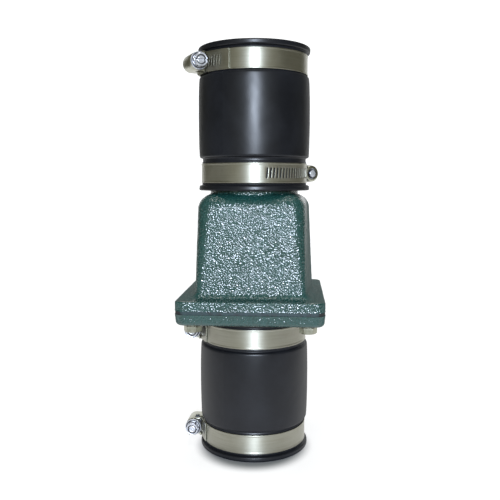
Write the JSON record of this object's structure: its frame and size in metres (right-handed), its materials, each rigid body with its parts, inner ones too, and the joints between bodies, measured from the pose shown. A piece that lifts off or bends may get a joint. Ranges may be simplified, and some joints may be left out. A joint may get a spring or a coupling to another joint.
{
  "type": "non-return valve",
  "caption": "Swing check valve with a square cast chamber on a bolted flange, a hinged rubber flap, and rubber sleeves with worm-drive band clamps for a plain pipe at each end.",
  "frame": {"origin": "centre of the inlet sleeve's open end, the end that the valve stands on", "axes": "+Z along the bore with the flow, from inlet to outlet; +X and +Y square to the flange sides, with the flap's hinge at the +Y side"},
  "size_m": [0.0967, 0.1018, 0.274],
  "materials": {
    "painted_casting": "dark green enamel over a rough sand casting",
    "sheet_rubber": "cloth-reinforced sheet rubber",
    "moulded_rubber": "moulded elastomer with a low sheen",
    "bare_iron": "bare grey cast iron",
    "plated_steel": "zinc plated",
    "stainless_band": "rolled stainless strip",
    "stainless_housing": "pressed stainless sheet",
    "clamp_screw": "cold-headed stainless, plated"
  },
  "bodies": {
    "valve": {"valve_body": "painted_casting", "inlet_flange": "painted_casting", "gasket": "sheet_rubber", "flange_bolts": "plated_steel", "bolt_washers": "plated_steel", "outlet_sleeve": "moulded_rubber", "inlet_sleeve": "moulded_rubber", "outlet_pipe_band": "stainless_band", "outlet_pipe_housing": "stainless_housing", "outlet_valve_band": "stainless_band", "outlet_valve_housing": "stainless_housing", "inlet_valve_band": "stainless_band", "inlet_valve_housing": "stainless_housing", "inlet_pipe_band": "stainless_band", "inlet_pipe_housing": "stainless_housing"},
    "flap": {"flap": "sheet_rubber", "flap_weight": "bare_iron", "flap_retainer": "plated_steel", "flap_screw": "plated_steel", "flap_nut": "plated_steel"},
    "outlet_pipe_screw": {"outlet_pipe_screw": "clamp_screw"},
    "outlet_valve_screw": {"outlet_valve_screw": "clamp_screw"},
    "inlet_valve_screw": {"inlet_valve_screw": "clamp_screw"},
    "inlet_pipe_screw": {"inlet_pipe_screw": "clamp_screw"}
  },
  "joints": [
    {"name": "flap_hinge", "type": "hinge", "parent": "valve", "child": "flap", "pos_m": [0, 0.03, 0.103], "axis": [-1, 0, 0], "range_deg": [0, 65]},
    {"name": "outlet_pipe_screw_turn", "type": "hinge", "parent": "valve", "child": "outlet_pipe_screw", "pos_m": [-0.0377, -0.02005, 0.26245], "axis": [0.4695, -0.8829, 0], "continuous": true},
    {"name": "outlet_valve_screw_turn", "type": "hinge", "parent": "valve", "child": "outlet_valve_screw", "pos_m": [0.03581, 0.02326, 0.19115], "axis": [-0.5446, 0.8387, 0], "continuous": true},
    {"name": "inlet_valve_screw_turn", "type": "hinge", "parent": "valve", "child": "inlet_valve_screw", "pos_m": [-0.04267, -0.00149, 0.08285], "axis": [0.0349, -0.9994, 0], "continuous": true},
    {"name": "inlet_pipe_screw_turn", "type": "hinge", "parent": "valve", "child": "inlet_pipe_screw", "pos_m": [-0.04267, 0.00149, 0.01155], "axis": [-0.0349, -0.9994, 0], "continuous": true}
  ]
}
